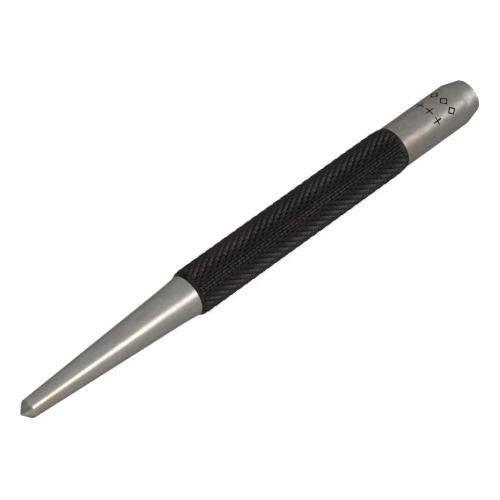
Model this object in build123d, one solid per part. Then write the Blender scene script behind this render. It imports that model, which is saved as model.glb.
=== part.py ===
from build123d import *
import os
from math import cos, degrees, pi, radians, sin, sqrt, tan

# Center punch, lying along X: its point is towards -X, its struck face towards +X, and the row of
# stamped marks faces about +Z. Millimetres. The real tool is one hardened bar, so each solid here is one
# turned or ground zone of that bar, and neighbouring zones meet face to face on a plane across it.
# "Station" means a distance back from the tip of the point, along the axis.

# Overall sizes
overall_length = 101.6
grip_diameter = 8.34  # over the crests of the knurl
head_step = 0.29  # on the radius, from those crests down to the plain head

# Point: ground cone, its tip blunted a little by use
point_angle = 90.0  # included, degrees
point_base_diameter = 3.38
tip_flat_diameter = 0.3

# Nose: long ground taper that flares into the shoulder
flare_length = 4.5
flare_rise = 0.13  # on the radius, above where the straight taper would end

# Smooth turned chamfer in front of the knurl
chamfer_length = 0.9
chamfer_rise = 0.48  # on the radius, up to the crests

# Grip: diamond knurl, run out to nothing at both ends
grip_length = 46.71
knurl_pitch = 1.09  # around the crest circle, between crests
knurl_helix = 32.5  # groove angle from the axis, degrees
knurl_depth = 0.26
rear_round_length = 2.7  # rounded shoulder down to the head, knurled too

# Head: plain shank, then a crown that leaves room for the steel to mushroom under the hammer
head_length = 14.27
crown_length = 3.65
crown_slope = 14.5  # from the axis, degrees
crown_base_radius = 3.0  # soft edge between shank and crown
crown_rim_radius = 0.4

# Stamped marks on the head: a row of lozenges near the crown and a row of crosses near the grip
mark_depth = 0.07
mark_height = 1.8
mark_line_width = 0.26
mark_pitch = 2.25  # around the head, between the middles of neighbouring marks
marks_in_row = 4
mark_tool_reach = 1.0  # how far a stamping tool stands out of the steel
lozenge_row_from_crown = 2.9
cross_row_from_crown = 6.3
marks_turn = 7.5  # degrees around the head, from +Z towards +Y, to the middle of the marks

# Sizes that follow from those above
grip_radius = grip_diameter / 2
head_radius = grip_radius - head_step
chamfer_radius = grip_radius - chamfer_rise
taper_end_radius = chamfer_radius - flare_rise
point_base_radius = point_base_diameter / 2
tip_flat_radius = tip_flat_diameter / 2
nose_start = (point_base_radius - tip_flat_radius) / tan(radians(point_angle / 2))
crown_start = overall_length - crown_length
head_start = crown_start - head_length
grip_start = head_start - grip_length
chamfer_start = grip_start - chamfer_length
knurl_starts = round(pi * grip_diameter / knurl_pitch)
knurl_row = pi * grip_diameter / knurl_starts / tan(radians(knurl_helix)) / 2
knurl_rings = round(grip_length / knurl_row)
rear_round_radius = (rear_round_length**2 + head_step**2) / (2 * head_step)


def turned(outline):
    """One zone of the bar: the area between an outline, from front to back, and the axis, spun."""
    front = outline @ 0
    back = outline @ 1
    sides = Polyline(back, (back.X, 0), (front.X, 0), front)
    return revolve(make_face(outline + sides), Axis.X)


def make_point():
    return turned(Line((0, tip_flat_radius), (nose_start, point_base_radius)))


def make_nose():
    rise = (taper_end_radius - point_base_radius) / (chamfer_start - nose_start)
    flare_start = chamfer_start - flare_length
    flare_start_radius = taper_end_radius - rise * flare_length
    taper = Line((nose_start, point_base_radius), (flare_start, flare_start_radius))
    flare = TangentArc(taper @ 1, (chamfer_start, chamfer_radius), tangent=taper % 1)
    return turned(taper + flare)


def make_grip_chamfer():
    return turned(Line((chamfer_start, chamfer_radius), (grip_start, grip_radius)))


def grip_outline_radius(distance):
    """Radius over the crests at a distance back from the grip's front edge."""
    into_round = distance - (grip_length - rear_round_length)
    if into_round <= 0:
        return grip_radius
    return grip_radius - rear_round_radius + sqrt(rear_round_radius**2 - into_round**2)


def knurl_ring(ring):
    """Points around the grip, crest and groove crossing by turns. Each ring is one half row on."""
    distance = grip_length * ring / knurl_rings
    crest_radius = grip_outline_radius(distance)
    groove_radius = min(grip_radius - knurl_depth, crest_radius)
    if ring in (0, knurl_rings):
        groove_radius = crest_radius
    points = []
    for spoke in range(2 * knurl_starts):
        is_crest = (ring + spoke) % 2 == 0
        radius = crest_radius if is_crest else groove_radius
        angle = pi * spoke / knurl_starts
        points.append(Vector(grip_start + distance, radius * sin(angle), -radius * cos(angle)))
    return points


def flank(*corners):
    return Face(Wire.make_polygon(corners))


def make_knurled_grip():
    """Four flat flanks to each diamond, which meet their neighbours along the groove bottoms."""
    rings = [knurl_ring(ring) for ring in range(knurl_rings + 1)]
    faces = [flank(*rings[0]), flank(*rings[-1])]
    for ring in range(knurl_rings):
        for spoke in range(2 * knurl_starts):
            beside = (spoke + 1) % (2 * knurl_starts)
            near = rings[ring][spoke]
            near_beside = rings[ring][beside]
            far = rings[ring + 1][spoke]
            far_beside = rings[ring + 1][beside]
            if (ring + spoke) % 2 == 0:
                faces += [flank(near, far, near_beside), flank(far_beside, near_beside, far)]
            else:
                faces += [flank(far, far_beside, near), flank(near_beside, near, far_beside)]
    return Solid(Shell(faces))


def around_head(tool, station):
    """A row of copies of a stamping tool that points outwards, at one station."""
    copies = []
    for index in range(marks_in_row):
        turn = degrees(mark_pitch / head_radius) * (index - (marks_in_row - 1) / 2) - marks_turn
        copies.append(Rot(X=turn) * Pos(station, 0, head_radius) * tool)
    return copies


def lozenge_tool():
    side = mark_height / sqrt(2)
    inner_side = side - 2 * mark_line_width
    outline = Rectangle(side, side, rotation=45) - Rectangle(inner_side, inner_side, rotation=45)
    return extrude(outline, mark_tool_reach, both=True)


def cross_tool():
    strokes = Rectangle(mark_height, mark_line_width) + Rectangle(mark_line_width, mark_height)
    return extrude(strokes, mark_tool_reach, both=True)


def make_head():
    shank = turned(Line((head_start, head_radius), (crown_start, head_radius)))
    core_radius = head_radius - mark_depth
    core = turned(Line((head_start, core_radius), (crown_start, core_radius)))
    lozenges = around_head(lozenge_tool(), crown_start - lozenge_row_from_crown)
    crosses = around_head(cross_tool(), crown_start - cross_row_from_crown)
    return shank - [tool - core for tool in lozenges + crosses]


def make_crown():
    base = JernArc((crown_start, head_radius), (1, 0), crown_base_radius, -crown_slope)
    slope_length = overall_length - (base @ 1).X
    face_radius = (base @ 1).Y - slope_length * tan(radians(crown_slope))
    crown = turned(base + Line(base @ 1, (overall_length, face_radius)))
    rim = crown.edges().group_by(Axis.X)[-1]
    return fillet(rim, crown_rim_radius)


zones = {
    "point": make_point(),
    "tapered_nose": make_nose(),
    "grip_chamfer": make_grip_chamfer(),
    "knurled_grip": make_knurled_grip(),
    "head": make_head(),
    "crown": make_crown(),
}

# The tool rests on the crests of its knurl: mid-length over the origin, lowest crests at z = 0.
place = Pos(-overall_length / 2, 0, grip_radius)

os.makedirs("parts", exist_ok=True)
for name, zone in zones.items():
    export_step(place * zone, f"parts/{name}.step")
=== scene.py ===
import math
import random

import bpy
from mathutils import Matrix, Vector


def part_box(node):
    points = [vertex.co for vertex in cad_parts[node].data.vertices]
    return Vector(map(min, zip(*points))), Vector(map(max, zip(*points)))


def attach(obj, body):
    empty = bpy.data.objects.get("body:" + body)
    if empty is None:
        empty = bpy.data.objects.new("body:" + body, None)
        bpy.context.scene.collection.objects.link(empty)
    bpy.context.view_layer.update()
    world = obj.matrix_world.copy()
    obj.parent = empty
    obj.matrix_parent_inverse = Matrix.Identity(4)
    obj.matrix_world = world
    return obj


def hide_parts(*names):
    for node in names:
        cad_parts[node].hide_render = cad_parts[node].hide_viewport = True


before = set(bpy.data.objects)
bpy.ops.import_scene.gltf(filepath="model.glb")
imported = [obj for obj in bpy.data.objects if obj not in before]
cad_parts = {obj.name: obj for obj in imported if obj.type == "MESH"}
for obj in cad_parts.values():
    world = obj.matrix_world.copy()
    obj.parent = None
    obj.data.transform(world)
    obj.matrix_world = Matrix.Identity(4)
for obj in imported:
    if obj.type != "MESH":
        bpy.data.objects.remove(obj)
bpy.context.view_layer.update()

# A center punch lies on a pale floor with its point towards -X. It is one bar, so the pieces below
# are its turned and ground zones. Metres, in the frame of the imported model.

MM = 0.001

# Turned work
SEGMENTS = 224  # around the bar
LONGEST_FACE = 0.7 * MM  # along the bar
FILLET_STEPS = 5
SHARP_ANGLE = math.radians(50)  # edges that turn more than this are shaded sharp
SAME_PLACE = 1e-9  # lengths shorter than this count as none

# Point and nose
TIP_FLAT = 0.15 * MM
TIP_ROUNDING = 0.12 * MM
POINT_BASE_ROUNDING = 0.7 * MM
FLARE_LENGTH = 4.5 * MM
FLARE_RISE = 0.13 * MM

# Knurl
KNURL_PITCH = 1.09 * MM  # around the crests
KNURL_HELIX = math.radians(32.5)  # from the axis
KNURL_DEPTH = 0.31 * MM
FRONT_ROUND_LENGTH = 1.6 * MM  # from the front of the chamfer to the first full crests
REAR_ROUND_LENGTH = 2.7 * MM
REAR_RUN_OUT = 0.45 * MM  # the grooves fade to nothing over this length
# Where the mesh lines lie across one groove pitch: groove bottom at 0, crest at one half
GROOVE_FLAT = 0.015
CREST_EDGE = 0.35
ACROSS_PITCH = (0.0, GROOVE_FLAT, 0.25, CREST_EDGE, 0.50, 1 - CREST_EDGE, 0.75, 1 - GROOVE_FLAT)
KNURL_SHARP_ANGLE = math.radians(30)  # so that each flank of a groove stays flat
CHAMFER_LINES = 16  # around the chamfer, to each groove pitch
CHAMFER_RINGS = 18

# Crown and struck face
CROWN_SLOPE = math.radians(14.5)
CROWN_BASE_RADIUS = 3.0 * MM
RIM_RADIUS = 0.4 * MM
FACE_RINGS = 16
FACE_THICKNESS = 0.01 * MM  # points this close to the back end belong to the struck face
DENTS = 14
DENT_SEED = 11
DENT_RADIUS = (0.25 * MM, 0.7 * MM)
DENT_DEPTH = 0.035 * MM
DENTS_WITHIN = 0.8  # of the flat face's radius

# Stamped marks on the head
MARK_DEPTH = 0.07 * MM
MARK_HEIGHT = 1.8 * MM
MARK_LINE = 0.26 * MM
MARK_EDGE = 1.35  # a stamped line ends this many half widths from its middle, with soft sides
MARK_PITCH = 2.25 * MM
MARKS_IN_ROW = 4
LOZENGE_ROW_FROM_CROWN = 2.9 * MM
CROSS_ROW_FROM_CROWN = 6.3 * MM
MARKS_TURN = math.radians(7.5)  # from the top, away from the viewer, to the middle of the marks
FINE_GRID = 0.05 * MM
COARSE_GRID = 0.35 * MM


def reach(node):
    """Front and back of a node along the bar, and its largest radius."""
    low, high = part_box(node)
    return low.x, high.x, (high.y - low.y) / 2


grip_low, grip_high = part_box("knurled_grip")
AXIS_HEIGHT = (grip_low.z + grip_high.z) / 2


def on_bar(x, radius, turn):
    """A point on the bar. turn is 0 at the top and grows towards -Y, where the viewer stands."""
    return (x, -radius * math.sin(turn), AXIS_HEIGHT + radius * math.cos(turn))


# Meshes


def new_piece(name, points, faces, node, slot, finish, sharp_from=SHARP_ANGLE):
    mesh = bpy.data.meshes.new(name)
    mesh.from_pydata(points, [], faces)
    mesh.validate()
    mesh.shade_smooth()
    mesh.set_sharp_from_angle(angle=sharp_from)
    piece = bpy.data.objects.new(name, mesh)
    bpy.context.scene.collection.objects.link(piece)
    mesh.materials.append(finish.material)
    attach(piece, "root")
    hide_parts(node)
    return piece


def add_attribute(piece, name, values):
    attribute = piece.data.attributes.new(name, "FLOAT", "POINT")
    attribute.data.foreach_set("value", values)


def rounded(corners):
    """An outline through (x, radius, fillet) corners, with an arc in place of each filleted corner."""
    points = []
    for index, (x, radius, fillet) in enumerate(corners):
        here = Vector((x, radius))
        if fillet == 0 or index in (0, len(corners) - 1):
            points.append(here)
            continue
        back = (Vector(corners[index - 1][:2]) - here).normalized()
        ahead = (Vector(corners[index + 1][:2]) - here).normalized()
        half_angle = back.angle(ahead) / 2
        setback = fillet / math.tan(half_angle)
        centre = here + (back + ahead).normalized() * (fillet / math.sin(half_angle))
        start = here + back * setback - centre
        sweep = start.angle_signed(here + ahead * setback - centre)
        for step in range(FILLET_STEPS + 1):
            turn = Matrix.Rotation(-sweep * step / FILLET_STEPS, 2)
            points.append(centre + turn @ start)
    return points


def refined(outline):
    """The same outline with its long straight stretches divided."""
    points = [outline[0]]
    for point in outline[1:]:
        start = points[-1]
        parts = max(1, math.ceil((point - start).length / LONGEST_FACE))
        points += [start.lerp(point, part / parts) for part in range(1, parts + 1)]
    return points


def split(outline, x):
    """What lies in front of a plane across the bar, and what lies behind it."""
    behind = next(index for index, point in enumerate(outline) if point.x > x)
    before, after = outline[behind - 1], outline[behind]
    cut = before.lerp(after, (x - before.x) / (after.x - before.x))
    return [*outline[:behind], cut], [cut, *outline[behind:]]


def lathe(outline, segments=SEGMENTS):
    """Points and faces of a closed solid spun from an outline. Its ends may lie on the axis."""
    points, rings, faces = [], [], []
    for x, radius in outline:
        if radius < SAME_PLACE:
            rings.append([len(points)])
            points.append(on_bar(x, 0, 0))
            continue
        rings.append(list(range(len(points), len(points) + segments)))
        points += [on_bar(x, radius, 2 * math.pi * k / segments) for k in range(segments)]
    for near, far in zip(rings, rings[1:]):
        for k in range(segments):
            beside = (k + 1) % segments
            if len(near) == 1:
                faces.append((near[0], far[k], far[beside]))
            elif len(far) == 1:
                faces.append((near[k], far[0], near[beside]))
            else:
                faces.append((near[k], far[k], far[beside], near[beside]))
    return points, faces


# Shader maths


class Value:
    """What a node gives out, so that maths over a surface reads as plain arithmetic."""

    def __init__(self, finish, socket):
        self.finish = finish
        self.socket = socket

    def math(self, operation, other):
        return self.finish.node("ShaderNodeMath", {"operation": operation}, {0: self, 1: other})

    def __add__(self, other):
        return self.math("ADD", other)

    def __sub__(self, other):
        return self.math("SUBTRACT", other)

    def __rsub__(self, other):
        return self * -1 + other

    def __mul__(self, other):
        return self.math("MULTIPLY", other)

    def __truediv__(self, other):
        return self.math("DIVIDE", other)

    def __pow__(self, other):
        return self.math("POWER", other)

    __radd__ = __add__
    __rmul__ = __mul__

    def between(self, low, high):
        """0 where the value is below low, 1 above high, smooth in between."""
        settings = {"interpolation_type": "SMOOTHSTEP"}
        return self.finish.node("ShaderNodeMapRange", settings, {0: self, 1: low, 2: high})


class Finish:
    """A node tree that is being built, for a material or for the surroundings."""

    def __init__(self, owner):
        owner.use_nodes = True
        self.material = owner
        self.tree = owner.node_tree
        self.tree.nodes.clear()

    def node(self, kind, settings=None, inputs=None, output=0):
        """Adds one node: its settings first, then the values or links of its sockets."""
        made = self.tree.nodes.new(kind)
        for name, value in (settings or {}).items():
            setattr(made, name, value)
        for name, value in (inputs or {}).items():
            if isinstance(value, Value):
                self.tree.links.new(value.socket, made.inputs[name])
            else:
                made.inputs[name].default_value = value
        return Value(self, made.outputs[output]) if made.outputs else made

    def place(self):
        return self.node("ShaderNodeTexCoord", output="Object")

    def coordinates(self):
        """Along the bar, across it, and up from its axis."""
        place = self.place()
        x, y, z = (self.node("ShaderNodeSeparateXYZ", None, {0: place}, output=axis) for axis in "XYZ")
        return x, y, z - AXIS_HEIGHT

    def facing(self, turn):
        """1 on the line along the bar that lies at a turn, 0 a quarter of the way round from it."""
        _, y, z = self.coordinates()
        return (z * math.cos(turn) - y * math.sin(turn)) / (y * y + z * z) ** 0.5

    def attribute(self, name):
        return self.node("ShaderNodeAttribute", {"attribute_name": name}, output="Fac")

    def grain(self, along, across, detail=3.0, roughness=0.5, offset=0.0):
        """Noise whose features measure along and across the bar as given, in metres."""
        stretch = (1 / along, 1 / across, 1 / across)
        spread = self.node(
            "ShaderNodeVectorMath",
            {"operation": "MULTIPLY_ADD"},
            {0: self.place(), 1: stretch, 2: (offset, offset, offset)},
        )
        sockets = {"Vector": spread, "Scale": 1.0, "Detail": detail, "Roughness": roughness}
        return self.node("ShaderNodeTexNoise", {"noise_dimensions": "3D"}, sockets)

    def tint(self, factor, first, second):
        """Mixes two colours."""
        sockets = {0: factor, 6: self.colour(first), 7: self.colour(second)}
        return self.node("ShaderNodeMix", {"data_type": "RGBA"}, sockets, output=2)

    def colour(self, value):
        return value if isinstance(value, Value) else (*value, 1.0)

    def relief(self, height, distance):
        """The slopes of a surface whose height is 1 at the distance given, in metres."""
        sockets = {"Strength": 1.0, "Distance": distance, "Height": height}
        return self.node("ShaderNodeBump", None, sockets)

    def metal(self, colour, roughness, normal):
        """Makes the whole of a material: bare or blackened metal."""
        sockets = {
            "Base Color": self.colour(colour),
            "Metallic": 1.0,
            "Roughness": roughness,
            "Normal": normal,
        }
        shader = self.node("ShaderNodeBsdfPrincipled", None, sockets)
        self.node("ShaderNodeOutputMaterial", None, {"Surface": shader})
        return self


def new_finish(name):
    return Finish(bpy.data.materials.new(name))


STEEL = (0.61, 0.59, 0.56)
STEEL_DARK = (0.51, 0.495, 0.475)
STEEL_WARM = (0.60, 0.50, 0.42)
STEEL_SCRATCHED = (0.85, 0.84, 0.82)
HEAD_STEEL = (0.51, 0.486, 0.456)
HEAD_DARK = (0.415, 0.395, 0.37)
RUST = (0.46, 0.31, 0.21)
# Colour in the stamped marks: partly dark residue, partly painted shade in their hollows.
RESIDUE_AND_PAINTED_SHADE = (0.03, 0.026, 0.022)
OXIDE = (0.041, 0.0395, 0.039)
OXIDE_BROWN = (0.058, 0.047, 0.0425)
CHAMFER_OXIDE = (0.022, 0.020, 0.018)
CHAMFER_OLIVE = (0.050, 0.046, 0.034)
RUBBED = (0.13, 0.125, 0.12)

# Where the finishes change along the bar
STAINED_TURN = math.radians(74)  # the side of the nose that is stained most, near the viewer
STAINS_END = 8 * MM  # in front of the shoulder
RUST_REACH = 8 * MM  # behind the grip
BROWN_REACH = 20 * MM  # the brown fades from the front of the grip to this far behind it


def ground_steel():
    """Bright steel, ground round and round, with short scratches and a few warm stains."""
    finish = new_finish("ground_steel")
    front, back, _ = reach("tapered_nose")
    x, _, _ = finish.coordinates()
    fine_rings = finish.grain(0.05 * MM, 3.0 * MM, roughness=0.6)
    broad_rings = finish.grain(0.30 * MM, 5.0 * MM, roughness=0.7, offset=5.5)
    patches = finish.grain(4.0 * MM, 1.3 * MM, roughness=0.6, offset=3.1)
    blotches = finish.grain(2.6 * MM, 1.1 * MM, detail=4.0, roughness=0.6, offset=9.4)
    handled = finish.facing(STAINED_TURN).between(0.65, 0.95)
    handled *= 1 - x.between(front, back - STAINS_END)
    stains = blotches.between(0.5, 0.72) * 0.5 + handled * blotches.between(0.3, 0.6) * 0.45
    scratches = finish.grain(0.07 * MM, 0.9 * MM, detail=1.0, offset=12.3).between(0.66, 0.74)
    scratched = finish.grain(3.0 * MM, 2.0 * MM, detail=1.0, offset=15.1).between(0.5, 0.65)
    near_shoulder = x.between(front, back)
    colour = finish.tint(patches.between(0.3, 0.7), STEEL, STEEL_DARK)
    colour = finish.tint(stains, colour, STEEL_WARM)
    colour = finish.tint(broad_rings.between(0.5, 0.8) * 0.35, colour, STEEL_DARK)
    colour = finish.tint(scratches * scratched * 0.6, colour, STEEL_SCRATCHED)
    roughness = 0.275 + near_shoulder * 0.03 + (fine_rings - 0.5) * 0.08
    roughness += (patches - 0.5) * 0.10 + (broad_rings - 0.5) * 0.06
    height = (fine_rings * 0.5 + broad_rings) * (0.3 + near_shoulder * 0.6)
    return finish.metal(colour, roughness, finish.relief(height, 0.004 * MM))


def point_steel():
    """The cone is ground separately, a little coarser."""
    finish = new_finish("point_steel")
    rings = finish.grain(0.06 * MM, 1.2 * MM, detail=4.0, roughness=0.6, offset=5.0)
    patches = finish.grain(0.9 * MM, 0.7 * MM, offset=1.7)
    colour = finish.tint(patches.between(0.35, 0.65), STEEL_DARK, STEEL)
    roughness = 0.24 + (rings - 0.5) * 0.12 + (patches - 0.5) * 0.08
    return finish.metal(colour, roughness, finish.relief(rings, 0.003 * MM))


def head_steel():
    """Duller steel: faint turning lines, handling marks, rust beside the grip, stamped marks darkened
    by residue and painted shade.
    """
    finish = new_finish("head_steel")
    front, _, _ = reach("head")
    x, _, _ = finish.coordinates()
    rings = finish.grain(0.16 * MM, 3.0 * MM, roughness=0.7, offset=2.0)
    patches = finish.grain(1.5 * MM, 1.2 * MM, detail=4.0, roughness=0.65, offset=7.7)
    blotches = finish.grain(1.6 * MM, 1.3 * MM, roughness=0.6, offset=4.2)
    freckles = finish.grain(0.5 * MM, 0.45 * MM, roughness=0.6, offset=14.2)
    near_grip = 1 - x.between(front, front + RUST_REACH)
    rust = blotches.between(0.42, 0.66) * (0.10 + near_grip * 0.32)
    rust += freckles.between(0.58, 0.72) * near_grip * 0.3
    colour = finish.tint(patches.between(0.3, 0.7), HEAD_STEEL, HEAD_DARK)
    colour = finish.tint(rust, colour, RUST)
    stamp = finish.attribute("stamp_depth").between(0.1, 0.75)
    # The stamped marks are darkened: partly residue, partly painted shade in their hollows.
    colour = finish.tint(stamp, colour, RESIDUE_AND_PAINTED_SHADE)
    roughness = 0.31 + (patches - 0.5) * 0.16 + (rings - 0.5) * 0.08 + stamp * 0.3 + rust * 0.2
    return finish.metal(colour, roughness, finish.relief(rings + freckles * 0.5, 0.003 * MM))


def crown_steel():
    """Turned steel, with rings that go on over the rim and the struck face."""
    finish = new_finish("crown_steel")
    path = finish.attribute("lathe_path")
    rings = finish.node(
        "ShaderNodeTexNoise",
        {"noise_dimensions": "1D"},
        {"W": path / (0.12 * MM), "Scale": 1.0, "Detail": 3.0},
    )
    patches = finish.grain(1.5 * MM, 1.2 * MM, detail=4.0, roughness=0.65, offset=7.7)
    bruises = finish.attribute("bruise")
    colour = finish.tint(patches.between(0.3, 0.7), HEAD_STEEL, HEAD_DARK)
    colour = finish.tint(bruises * 0.7, colour, STEEL)
    roughness = 0.38 + (patches - 0.5) * 0.14 + (rings - 0.5) * 0.10 - bruises * 0.12
    return finish.metal(colour, roughness, finish.relief(rings, 0.004 * MM))


def black_chamfer():
    """Smooth black oxide with an olive cast and a rubbed rear edge."""
    finish = new_finish("black_chamfer")
    rings = finish.grain(0.10 * MM, 4.0 * MM, offset=8.0)
    patches = finish.grain(1.0 * MM, 1.5 * MM, offset=3.3)
    edge = finish.attribute("rubbed_edge").between(0.6, 1.0)
    colour = finish.tint(patches.between(0.35, 0.65), CHAMFER_OXIDE, CHAMFER_OLIVE)
    colour = finish.tint(edge * patches.between(0.3, 0.6) * 0.4, colour, RUBBED)
    roughness = 0.33 + (rings - 0.5) * 0.12 + (patches - 0.5) * 0.1
    return finish.metal(colour, roughness, finish.relief(rings, 0.003 * MM))


def black_knurl():
    """Black oxide over the knurl. The crests are rubbed, more in some places than in others."""
    finish = new_finish("black_knurl")
    front, back, _ = reach("knurled_grip")
    x, _, _ = finish.coordinates()
    crest = finish.attribute("crest")
    patches = finish.grain(7.0 * MM, 3.0 * MM, roughness=0.6, offset=1.3)
    speckle = finish.grain(0.16 * MM, 0.16 * MM, detail=2.0, offset=6.6)
    nicks = finish.grain(0.45 * MM, 0.45 * MM, detail=1.0, offset=21.3).between(0.76, 0.80)
    browner = patches.between(0.35, 0.65) * (1 - x.between(front, back + BROWN_REACH) * 0.8)
    colour = finish.tint(browner, OXIDE, OXIDE_BROWN)
    rubbed = crest.between(0.85, 1.0) * patches.between(0.4, 0.7) * (0.3 + speckle) * 0.2
    colour = finish.tint(rubbed, colour, RUBBED)
    colour = finish.tint(nicks * crest.between(0.6, 0.9), colour, STEEL_DARK)
    roughness = 0.36 + (speckle - 0.5) * 0.15
    return finish.metal(colour, roughness, finish.relief(speckle, 0.004 * MM))


# The zones of the bar


def ground_outline():
    """From the middle of the tip to the shoulder: cone, straight taper and flare."""
    front, cone_back, base_radius = reach("point")
    _, back, end_radius = reach("tapered_nose")
    rise = (end_radius - FLARE_RISE - base_radius) / (back - cone_back)
    flare_front = back - FLARE_LENGTH
    flare_front_radius = base_radius + rise * (flare_front - cone_back)
    corners = [
        (front, 0, 0),
        (front, TIP_FLAT, TIP_ROUNDING),
        (cone_back, base_radius, POINT_BASE_ROUNDING),
        (flare_front, flare_front_radius, 0),
    ]
    outline = refined(rounded(corners))
    steps = math.ceil(FLARE_LENGTH / LONGEST_FACE)
    for step in range(1, steps + 1):
        share = step / steps
        radius = flare_front_radius + rise * FLARE_LENGTH * share + FLARE_RISE * share**2
        outline.append(Vector((flare_front + FLARE_LENGTH * share, radius)))
    return outline


def make_point():
    back = reach("point")[1]
    outline = split(ground_outline(), back)[0]
    outline.append(Vector((back, 0)))
    new_piece("ground_point", *lathe(outline), "point", "point_steel", point_steel())


def make_nose():
    front, back, _ = reach("tapered_nose")
    outline = split(ground_outline(), front)[1]
    outline = [Vector((front, 0)), *outline, Vector((back, 0))]
    new_piece("tapered_nose_ground", *lathe(outline), "tapered_nose", "ground_steel", ground_steel())


def smooth(share):
    share = min(1.0, max(0.0, share))
    return share * share * (3 - 2 * share)


class Knurl:
    """Two families of V grooves that wind opposite ways round the bar and leave diamonds between them.
    A place on it has a position in each family, counted in pitches from a groove's bottom."""

    def __init__(self):
        self.front, self.back, self.crest_radius = reach("knurled_grip")
        self.length = self.back - self.front
        self.starts = round(2 * math.pi * self.crest_radius / KNURL_PITCH)
        half_row = math.pi * self.crest_radius / self.starts / math.tan(KNURL_HELIX)
        self.rows = round(self.length / half_row)
        chamfer_front, _, _ = reach("grip_chamfer")
        self.chamfer_length = self.front - chamfer_front
        self.front_rise = self.crest_radius - reach("tapered_nose")[2]
        self.rear_step = self.crest_radius - reach("head")[2]

    def place(self, right_hand, left_hand):
        """Distance behind the front of the grip, and turn around the bar."""
        distance = self.length * (right_hand + left_hand) / self.rows
        return distance, math.pi * (right_hand - left_hand) / self.starts

    def positions(self, distance, turn):
        along = self.rows * distance / self.length
        around = self.starts * turn / math.pi
        return (along + around) / 2, (along - around) / 2

    def outline(self, distance):
        """Radius over the crests."""
        before_full = max(0.0, 1 - (distance + self.chamfer_length) / FRONT_ROUND_LENGTH)
        into_round = max(0.0, distance - (self.length - REAR_ROUND_LENGTH))
        rear_radius = (REAR_ROUND_LENGTH**2 + self.rear_step**2) / (2 * self.rear_step)
        rear_drop = rear_radius - math.sqrt(rear_radius**2 - into_round**2)
        return self.crest_radius - self.front_rise * before_full**2 - rear_drop

    def surface(self, distance, right_hand, left_hand):
        """Radius at a place, and how much of a crest is there: 1 on top, 0 in a groove's bottom."""
        cut = max(self.groove(right_hand), self.groove(left_hand))
        cut *= smooth((self.length - distance) / REAR_RUN_OUT)
        radius = min(self.outline(distance), self.crest_radius - KNURL_DEPTH * cut)
        return radius, 1 - cut

    @staticmethod
    def groove(position):
        distance = abs(position - round(position))
        return min(1.0, max(0.0, (CREST_EDGE - distance) / (CREST_EDGE - GROOVE_FLAT)))


def make_chamfer(knurl):
    """A smooth convex chamfer. The grooves of the knurl run out over its rear part."""
    front, back, _ = reach("grip_chamfer")
    outline = [Vector((front, 0))]
    for ring in range(CHAMFER_RINGS + 1):
        distance = (ring / CHAMFER_RINGS - 1) * knurl.chamfer_length
        outline.append(Vector((knurl.front + distance, knurl.outline(distance))))
    outline.append(Vector((back, 0)))
    smooth_points, faces = lathe(outline, knurl.starts * CHAMFER_LINES)
    points, crests = [], []
    for x, y, z in smooth_points:
        turn = math.atan2(-y, z - AXIS_HEIGHT)
        distance = x - knurl.front
        cut_radius, crest = knurl.surface(distance, *knurl.positions(distance, turn))
        points.append(on_bar(x, min(cut_radius, math.hypot(y, z - AXIS_HEIGHT)), turn))
        crests.append(crest * (1 + distance / knurl.chamfer_length))
    finish = black_chamfer()
    piece = new_piece("black_chamfer_band", points, faces, "grip_chamfer", "black_chamfer", finish)
    add_attribute(piece, "rubbed_edge", crests)


def make_knurled_grip(knurl):
    """The mesh lines follow the grooves, and the two ends cut across through the diamonds' corners."""
    lines = len(ACROSS_PITCH)
    around = knurl.starts * lines
    points, crests, index_of = [], [], {}

    def vertex(right_hand, left_hand):
        laps = right_hand // around
        key = (right_hand - laps * around, left_hand + laps * around)
        if key not in index_of:
            positions = [line // lines + ACROSS_PITCH[line % lines] for line in key]
            distance, turn = knurl.place(*positions)
            radius, crest = knurl.surface(distance, *positions)
            index_of[key] = len(points)
            points.append(on_bar(knurl.front + distance, radius, turn))
            crests.append(crest)
        return index_of[key]

    last = knurl.rows * lines
    corners = [(0, 0), (0, 1), (1, 1), (1, 0)]
    faces = []
    for total in range(-1, last):
        for right_hand in range(around):
            left_hand = total - right_hand
            inside = [(i, j) for i, j in corners if 0 <= total + i + j <= last]
            faces.append([vertex(right_hand + i, left_hand + j) for i, j in inside])
    for total, x in ((0, knurl.front), (last, knurl.back)):
        centre = len(points)
        points.append(on_bar(x, 0, 0))
        crests.append(0.0)
        for line in range(around):
            edge = (vertex(line, total - line), vertex(line + 1, total - line - 1))
            faces.append((centre, *edge) if total == 0 else (centre, *reversed(edge)))
    finish = black_knurl()
    piece = new_piece(
        "diamond_knurl", points, faces, "knurled_grip", "black_knurl", finish, KNURL_SHARP_ANGLE
    )
    add_attribute(piece, "crest", crests)


def grid_lines(low, high, fine_spans):
    """Places between low and high, close together inside the fine spans and further apart elsewhere."""
    lines = [low]
    while lines[-1] < high - SAME_PLACE:
        here = lines[-1]
        fine = any(start - COARSE_GRID <= here <= end for start, end in fine_spans)
        lines.append(min(high, here + (FINE_GRID if fine else COARSE_GRID)))
    return lines


def lozenge_line(along, across):
    """Distance to the line of a lozenge with its middle at 0, 0."""
    half = MARK_HEIGHT / 2 - MARK_LINE / math.sqrt(2)
    return abs(abs(along) + abs(across) - half) / math.sqrt(2)


def cross_line(along, across):
    """Distance to the lines of an upright cross with its middle at 0, 0."""
    half = (MARK_HEIGHT - MARK_LINE) / 2
    one = math.hypot(max(0.0, abs(along) - half), across)
    other = math.hypot(max(0.0, abs(across) - half), along)
    return min(one, other)


def stamp_depth(x, arc, rows):
    """How deep the stamped marks go at a place on the head, from 0 to 1."""
    deepest = 0.0
    for row_x, line in rows:
        if abs(x - row_x) > MARK_HEIGHT:
            continue
        for mark in range(MARKS_IN_ROW):
            across = arc - MARK_PITCH * (mark - (MARKS_IN_ROW - 1) / 2)
            if abs(across) < MARK_HEIGHT:
                share = line(x - row_x, across) / (MARK_LINE / 2)
                deepest = max(deepest, smooth(MARK_EDGE - share))
    return deepest


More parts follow.
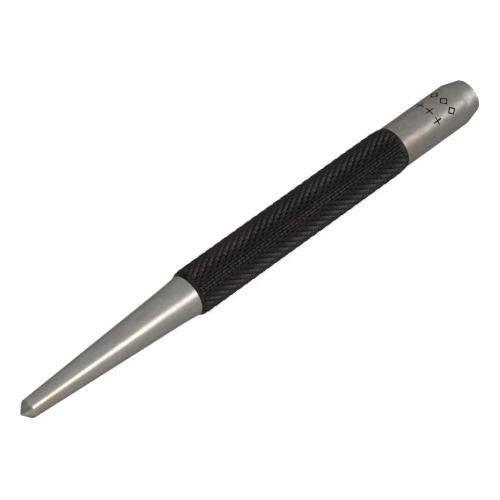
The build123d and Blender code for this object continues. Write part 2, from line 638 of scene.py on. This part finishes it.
def make_head():
    """A plain shank whose mesh is fine where the marks are stamped into it."""
    front, back, radius = reach("head")
    rows = [(back - LOZENGE_ROW_FROM_CROWN, lozenge_line), (back - CROSS_ROW_FROM_CROWN, cross_line)]
    spans = [(x - MARK_HEIGHT / 2, x + MARK_HEIGHT / 2) for x, _ in rows]
    half_marked = MARK_PITCH * MARKS_IN_ROW / 2
    middle = -MARKS_TURN * radius
    half_way = math.pi * radius
    fine_arc = (middle - half_marked, middle + half_marked)
    around = grid_lines(-half_way, half_way, [fine_arc])[:-1]
    along = grid_lines(front, back, spans)
    points, depths, faces = [], [], []
    for x in along:
        for arc in around:
            depth = stamp_depth(x, arc - middle, rows)
            points.append(on_bar(x, radius - MARK_DEPTH * depth, arc / radius))
            depths.append(depth)
    columns = len(around)
    for row in range(len(along) - 1):
        near, far = row * columns, (row + 1) * columns
        for k in range(columns):
            beside = (k + 1) % columns
            faces.append((near + k, far + k, far + beside, near + beside))
    for x, first in ((front, 0), (back, (len(along) - 1) * columns)):
        centre = len(points)
        points.append(on_bar(x, 0, 0))
        depths.append(0.0)
        for k in range(columns):
            edge = (first + (k + 1) % columns, first + k)
            faces.append((centre, *edge) if first == 0 else (centre, *reversed(edge)))
    piece = new_piece("stamped_head", points, faces, "head", "head_steel", head_steel())
    add_attribute(piece, "stamp_depth", depths)


def make_crown():
    front, back, radius = reach("crown")
    cone_front = front + CROWN_BASE_RADIUS * math.tan(CROWN_SLOPE / 2)
    face_radius = radius - (back - cone_front) * math.tan(CROWN_SLOPE)
    corners = [
        (front, 0, 0),
        (front, radius, 0),
        (cone_front, radius, CROWN_BASE_RADIUS),
        (back, face_radius, RIM_RADIUS),
        (back, 0, 0),
    ]
    outline = rounded(corners)
    face_edge = outline[-2].y
    face = [Vector((back, face_edge * (1 - ring / FACE_RINGS))) for ring in range(1, FACE_RINGS + 1)]
    points, faces = lathe(refined([*outline[:-1], *face]))
    points, bruises = dented(points, back, face_edge)
    piece = new_piece("struck_crown", points, faces, "crown", "crown_steel", crown_steel())
    add_attribute(piece, "bruise", bruises)
    path = [x - math.hypot(y, z - AXIS_HEIGHT) for x, y, z in points]
    add_attribute(piece, "lathe_path", path)


def dented(points, face_x, face_radius):
    """The points with shallow hammer dents in the struck face, and how dented each one is."""
    draw = random.Random(DENT_SEED)
    dents = []
    for _ in range(DENTS):
        out = face_radius * DENTS_WITHIN * math.sqrt(draw.random())
        turn = draw.uniform(0, 2 * math.pi)
        dents.append((out * math.cos(turn), out * math.sin(turn), draw.uniform(*DENT_RADIUS)))
    moved, bruises = [], []
    for x, y, z in points:
        depth = 0.0
        if x > face_x - FACE_THICKNESS:
            for dent_y, dent_z, size in dents:
                away = math.hypot(y - dent_y, z - AXIS_HEIGHT - dent_z)
                depth = max(depth, smooth(1 - away / size) * size / DENT_RADIUS[1])
        moved.append((x - DENT_DEPTH * depth, y, z))
        bruises.append(depth)
    return moved, bruises


# Camera, light and floor

VIEW_AZIMUTH = math.radians(-44.0)
VIEW_ELEVATION = math.radians(47.83)
VIEW_DISTANCE = 0.6559
LENS = 288.0
NEAREST_SEEN = 0.01
LOOK_AT = Vector((-0.347 * MM, 0.09 * MM, AXIS_HEIGHT))  # close to the middle of the axis


def direction(azimuth, elevation):
    flat = math.cos(elevation)
    return Vector((math.sin(azimuth) * flat, -math.cos(azimuth) * flat, math.sin(elevation)))


def make_camera():
    data = bpy.data.cameras.new("camera")
    data.lens = LENS
    data.clip_start = NEAREST_SEEN
    camera = bpy.data.objects.new("camera", data)
    bpy.context.scene.collection.objects.link(camera)
    back = direction(VIEW_AZIMUTH, VIEW_ELEVATION)
    camera.location = LOOK_AT + back * VIEW_DISTANCE
    camera.rotation_mode = "QUATERNION"
    camera.rotation_quaternion = (-back).to_track_quat("-Z", "Y")
    bpy.context.scene.camera = camera


KEY_TOWARDS = Vector((0.20, -0.745, 0.643)).normalized()
KEY_DISTANCE = 0.6
KEY_LENGTH = 0.48
KEY_WIDTH = 0.24
KEY_RADIANCE = 1.84
KEY_WHITE = (1.0, 0.985, 0.94)


def make_key_softbox():
    """A rectangular light that faces the tool, its length as near along X as that allows."""
    data = bpy.data.lights.new("key_softbox", "AREA")
    data.shape = "RECTANGLE"
    data.size = KEY_LENGTH
    data.size_y = KEY_WIDTH
    data.energy = KEY_RADIANCE * math.pi * KEY_LENGTH * KEY_WIDTH
    data.color = KEY_WHITE
    lamp = bpy.data.objects.new("key_softbox", data)
    bpy.context.scene.collection.objects.link(lamp)
    back = KEY_TOWARDS
    side = (Vector((1, 0, 0)) - back * back.x).normalized()
    turned = Matrix((side, back.cross(side), back)).transposed().to_4x4()
    lamp.matrix_world = Matrix.Translation(back * KEY_DISTANCE) @ turned


# What the steel mirrors besides the key light: soft patches in an even grey room. Each has a
# direction, how wide it spreads (the cosine where it ends), and how much light it adds.
ROOM_GREY = 0.235
ROOM_WHITE = (1.0, 0.992, 0.975)
ROOM_PATCHES = (
    (KEY_TOWARDS, -0.6, 0.26),
    (Vector((0.95, -0.27, 0.15)).normalized(), 0.92, 1.90),  # a second light, low, off the struck end
    (Vector((0.64, -0.76, -0.13)).normalized(), 0.85, -0.10),  # a shadow on the bench beside the tool
    (Vector((0.42, 0.79, 0.45)).normalized(), 0.86, 0.10),  # a pale wall far behind the tool
    (Vector((-0.68, -0.61, -0.41)).normalized(), 0.70, 0.16),  # the bright bench off the point
    (Vector((-0.89, -0.24, 0.39)).normalized(), 0.88, -0.16),  # a dark doorway off the point
)


def make_surroundings():
    world = bpy.data.worlds.new("room")
    bpy.context.scene.world = world
    room = Finish(world)
    towards = room.node("ShaderNodeTexCoord", output="Generated")
    light = ROOM_GREY
    for middle, ends_at, added in ROOM_PATCHES:
        settings = {"operation": "DOT_PRODUCT"}
        facing = room.node("ShaderNodeVectorMath", settings, {0: towards, 1: middle}, output="Value")
        light = facing.between(ends_at, 1.0) * added + light
    lit = {"Color": room.colour(ROOM_WHITE), "Strength": light}
    shade = room.node("ShaderNodeBackground", None, lit)
    room.node("ShaderNodeOutputWorld", None, {"Surface": shade})


STAGE_RADIUS = 2.4
FLOOR_GLOW = 0.72


def make_stage():
    """A pale floor with a pale dome round it. Only the camera sees them: no glare on the steel."""
    floor_finish = new_finish("pale_floor")
    pale = {"Base Color": (0.9, 0.9, 0.9, 1), "Roughness": 0.9}
    lit_up = {"Emission Color": (1, 1, 1, 1), "Emission Strength": FLOOR_GLOW}
    paint = floor_finish.node("ShaderNodeBsdfPrincipled", None, {**pale, **lit_up})
    floor_finish.node("ShaderNodeOutputMaterial", None, {"Surface": paint})
    dome_finish = new_finish("pale_dome")
    glow = dome_finish.node("ShaderNodeEmission", None, {"Color": (1, 1, 1, 1), "Strength": 1.0})
    dome_finish.node("ShaderNodeOutputMaterial", None, {"Surface": glow})
    bpy.ops.mesh.primitive_circle_add(vertices=64, radius=STAGE_RADIUS, fill_type="NGON")
    floor = bpy.context.object
    floor.name = "floor"
    floor.data.materials.append(floor_finish.material)
    bpy.ops.mesh.primitive_uv_sphere_add(segments=48, ring_count=24, radius=STAGE_RADIUS)
    dome = bpy.context.object
    dome.name = "dome"
    dome.data.materials.append(dome_finish.material)
    for backdrop in (floor, dome):
        backdrop.visible_diffuse = False
        backdrop.visible_glossy = False
        backdrop.visible_transmission = False
        backdrop.visible_shadow = False


def show_colours_plainly():
    settings = bpy.context.scene.view_settings
    settings.view_transform = "Standard"
    settings.look = "None"


knurl = Knurl()
make_camera()
make_point()
make_nose()
make_chamfer(knurl)
make_knurled_grip(knurl)
make_head()
make_crown()
make_key_softbox()
make_surroundings()
make_stage()
show_colours_plainly()
